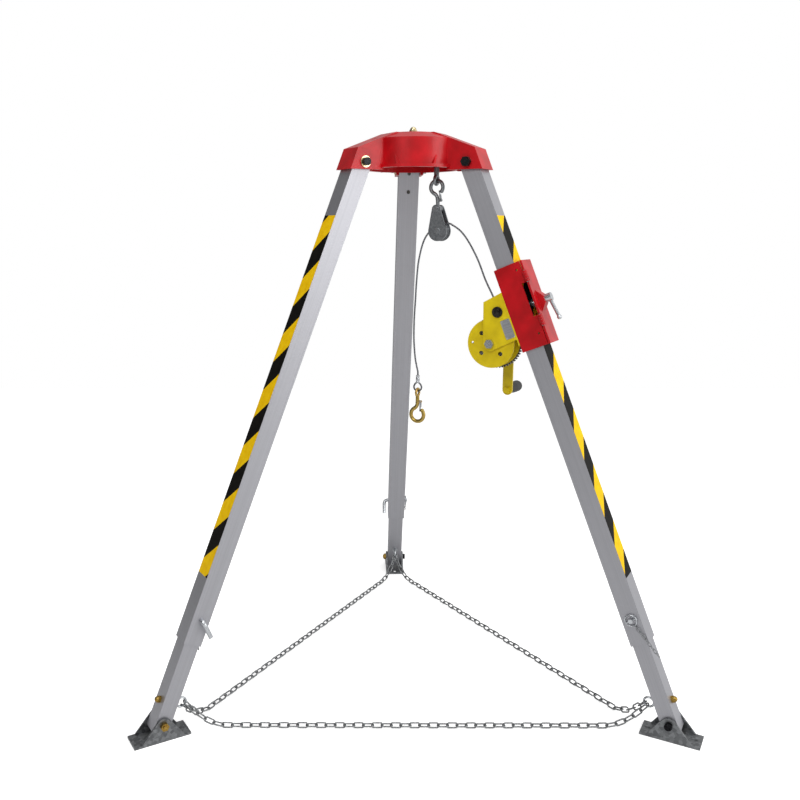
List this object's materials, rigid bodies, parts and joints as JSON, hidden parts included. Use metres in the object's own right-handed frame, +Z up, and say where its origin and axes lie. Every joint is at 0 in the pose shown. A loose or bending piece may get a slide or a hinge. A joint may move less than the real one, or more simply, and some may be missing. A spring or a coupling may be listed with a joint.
{
  "type": "rescue tripod",
  "caption": "Three-legged lifting tripod with a cast head, telescopic pinned legs, swivel feet, floor chains, pulley block and a hand winch clamped to a leg.",
  "frame": {"origin": "on the floor under the middle of the bounding box", "axes": "+Z up, the front pair of legs towards -Y, the winch leg towards +X"},
  "size_m": [1.514, 1.311, 1.5855],
  "materials": {
    "red_enamel": "glossy red enamel on cast and folded metal",
    "black_steel": "blackened bolts",
    "brass": "turned brass",
    "aluminium_tube": "satin anodised square tube",
    "zinc_steel": "bright zinc-plated steel",
    "galvanised_chain": "galvanised welded chain",
    "galvanised_plate": "galvanised folded plate",
    "hazard_tape": "yellow tape with black slanted stripes",
    "yellow_enamel": "mustard yellow enamel on pressed steel",
    "gear_steel": "dark steel",
    "black_grip": "black moulded grip",
    "yellow_zinc": "yellow zinc-plated forging",
    "wire_rope": "stranded steel wire rope"
  },
  "bodies": {
    "head": {"head_casting": "red_enamel", "pivot_bolts": "black_steel", "pivot_bushes": "brass", "top_nut": "brass", "anchor_eye": "zinc_steel", "floor_chain_front": "galvanised_chain", "floor_chain_right": "galvanised_chain", "floor_chain_left": "galvanised_chain", "rope_lift": "wire_rope", "rope_fall": "wire_rope"},
    "leg_rear": {"upper_tube_rear": "aluminium_tube", "leg_insert_rear": "zinc_steel", "hazard_tape_rear": "hazard_tape", "keeper_chain_rear": "galvanised_chain"},
    "lower_leg_rear": {"lower_tube_rear": "aluminium_tube", "eye_bolt_rear": "zinc_steel", "foot_bolt_rear": "black_steel"},
    "foot_rear": {"foot_rear": "galvanised_plate"},
    "lock_pin_rear": {"lock_pin_rear": "zinc_steel", "linch_pin_rear": "zinc_steel"},
    "leg_left": {"upper_tube_left": "aluminium_tube", "leg_insert_left": "zinc_steel", "hazard_tape_left": "hazard_tape", "keeper_chain_left": "galvanised_chain"},
    "lower_leg_left": {"lower_tube_left": "aluminium_tube", "eye_bolt_left": "zinc_steel", "foot_bolt_left": "black_steel"},
    "foot_left": {"foot_left": "galvanised_plate"},
    "lock_pin_left": {"lock_pin_left": "zinc_steel", "linch_pin_left": "zinc_steel"},
    "leg_right": {"upper_tube_right": "aluminium_tube", "leg_insert_right": "zinc_steel", "hazard_tape_right": "hazard_tape", "keeper_chain_right": "galvanised_chain", "clamp_body": "red_enamel", "winch_bolts": "zinc_steel", "winch_frame": "yellow_enamel", "drum_shaft": "zinc_steel"},
    "lower_leg_right": {"lower_tube_right": "aluminium_tube", "eye_bolt_right": "zinc_steel", "foot_bolt_right": "black_steel"},
    "foot_right": {"foot_right": "galvanised_plate"},
    "lock_pin_right": {"lock_pin_right": "zinc_steel", "linch_pin_right": "zinc_steel"},
    "clamp_door": {"clamp_door": "red_enamel"},
    "clamp_screw": {"clamp_screw": "zinc_steel"},
    "drum": {"rope_drum": "yellow_enamel", "drum_gear": "gear_steel", "rope_coil": "wire_rope"},
    "crank": {"pinion_shaft": "gear_steel", "crank_arm": "yellow_enamel"},
    "grip": {"crank_grip": "black_grip"},
    "block": {"block_hook": "gear_steel", "block_cheeks": "gear_steel", "sheave_axle": "zinc_steel"},
    "sheave": {"block_sheave": "zinc_steel"},
    "block_latch": {"block_latch": "zinc_steel"},
    "rope_end": {"rope_end": "zinc_steel"},
    "load_hook": {"load_hook": "yellow_zinc"},
    "hook_latch": {"hook_latch": "zinc_steel"}
  },
  "joints": [
    {"name": "leg_fold_rear", "type": "hinge", "parent": "head", "child": "leg_rear", "pos_m": [0, -0.02446, 1.485], "axis": [1, 0, 0], "range_deg": [-22.5, 0], "deforming": ["floor_chain_right", "floor_chain_left"]},
    {"name": "lower_leg_slide_rear", "type": "slide", "parent": "leg_rear", "child": "lower_leg_rear", "axis": [0, 0.3846, -0.9231], "range_m": [0, 0.48], "deforming": ["floor_chain_right", "floor_chain_left"]},
    {"name": "foot_tilt_rear", "type": "hinge", "parent": "lower_leg_rear", "child": "foot_rear", "pos_m": [0, 0.57554, 0.045], "axis": [-1, 0, 0], "range_deg": [-45, 18]},
    {"name": "lock_pin_turn_rear", "type": "hinge", "parent": "leg_rear", "child": "lock_pin_rear", "pos_m": [0, 0.464, 0.31269], "axis": [-1, 0, 0], "range_deg": [-90, 90], "deforming": ["keeper_chain_rear"]},
    {"name": "leg_fold_left", "type": "hinge", "parent": "head", "child": "leg_left", "pos_m": [-0.15155, -0.28696, 1.485], "axis": [-0.5, 0.866, 0], "range_deg": [-22.5, 0], "deforming": ["floor_chain_left", "floor_chain_front"]},
    {"name": "lower_leg_slide_left", "type": "slide", "parent": "leg_left", "child": "lower_leg_left", "axis": [-0.3331, -0.1923, -0.9231], "range_m": [0, 0.48], "deforming": ["floor_chain_left", "floor_chain_front"]},
    {"name": "foot_tilt_left", "type": "hinge", "parent": "lower_leg_left", "child": "foot_left", "pos_m": [-0.67117, -0.58696, 0.045], "axis": [0.5, -0.866, 0], "range_deg": [-45, 18]},
    {"name": "lock_pin_turn_left", "type": "hinge", "parent": "leg_left", "child": "lock_pin_left", "pos_m": [-0.57457, -0.53119, 0.31269], "axis": [0.5, -0.866, 0], "range_deg": [-90, 90], "deforming": ["keeper_chain_left"]},
    {"name": "leg_fold_right", "type": "hinge", "parent": "head", "child": "leg_right", "pos_m": [0.15155, -0.28696, 1.485], "axis": [-0.5, -0.866, 0], "range_deg": [-22.5, 0], "deforming": ["floor_chain_front", "floor_chain_right", "rope_lift"]},
    {"name": "lower_leg_slide_right", "type": "slide", "parent": "leg_right", "child": "lower_leg_right", "axis": [0.3331, -0.1923, -0.9231], "range_m": [0, 0.48], "deforming": ["floor_chain_front", "floor_chain_right"]},
    {"name": "foot_tilt_right", "type": "hinge", "parent": "lower_leg_right", "child": "foot_right", "pos_m": [0.67117, -0.58696, 0.045], "axis": [0.5, 0.866, 0], "range_deg": [-45, 18]},
    {"name": "lock_pin_turn_right", "type": "hinge", "parent": "leg_right", "child": "lock_pin_right", "pos_m": [0.57457, -0.53119, 0.31269], "axis": [0.5, 0.866, 0], "range_deg": [-90, 90], "deforming": ["keeper_chain_right"]},
    {"name": "clamp_door_swing", "type": "hinge", "parent": "leg_right", "child": "clamp_door", "pos_m": [0.30601, -0.41482, 1.12754], "axis": [0.3331, -0.1923, -0.9231], "range_deg": [0, 120]},
    {"name": "clamp_screw_turn", "type": "hinge", "parent": "clamp_door", "child": "clamp_screw", "pos_m": [0.32276, -0.38581, 1.12754], "axis": [0.7994, -0.4615, 0.3846], "range_deg": [-180, 180]},
    {"name": "drum_turn", "type": "hinge", "parent": "leg_right", "child": "drum", "pos_m": [0.2195, -0.32619, 1.01069], "axis": [0.5, 0.866, 0], "range_deg": [-990, 405]},
    {"name": "crank_turn", "type": "hinge", "parent": "leg_right", "child": "crank", "pos_m": [0.23556, -0.33546, 1.09621], "axis": [0.5, 0.866, 0], "range_deg": [-1620, 3960]},
    {"name": "grip_spin", "type": "hinge", "parent": "crank", "child": "grip", "pos_m": [0.28056, -0.25752, 0.87121], "axis": [0.5, 0.866, 0], "continuous": true},
    {"name": "block_swing", "type": "hinge", "parent": "head", "child": "block", "pos_m": [0.06235, -0.23546, 1.4315], "axis": [0.5, 0.866, 0], "range_deg": [-5, 5]},
    {"name": "sheave_turn", "type": "hinge", "parent": "block", "child": "sheave", "pos_m": [0.07269, -0.24143, 1.30652], "axis": [0.5, 0.866, 0], "range_deg": [-1958, 802]},
    {"name": "block_latch_swing", "type": "hinge", "parent": "block", "child": "block_latch", "pos_m": [0.07469, -0.24258, 1.38916], "axis": [-0.5, -0.866, 0], "range_deg": [0, 16], "stiffness_Nm_per_rad": 0.03, "springref_deg": -17.19},
    {"name": "hook_lift", "type": "slide", "parent": "head", "child": "rope_end", "axis": [0, 0, 1], "range_m": [-0.73, 0.3], "deforming": ["rope_fall"]},
    {"name": "hook_swing", "type": "hinge", "parent": "rope_end", "child": "load_hook", "pos_m": [0.02165, -0.21196, 0.85534], "axis": [0.866, -0.5, 0], "range_deg": [-15, 15]},
    {"name": "hook_latch_swing", "type": "hinge", "parent": "load_hook", "child": "hook_latch", "pos_m": [0.03031, -0.21696, 0.82514], "axis": [0.5, 0.866, 0], "range_deg": [0, 16], "stiffness_Nm_per_rad": 0.03, "springref_deg": -17.19}
  ],
  "couplings": [
    {"joint": "crank_turn", "follows": "drum_turn", "ratio": -4},
    {"joint": "sheave_turn", "follows": "drum_turn", "ratio": 1.9765},
    {"joint": "hook_lift", "follows": "drum_turn", "m_per_rad": 0.0421}
  ]
}
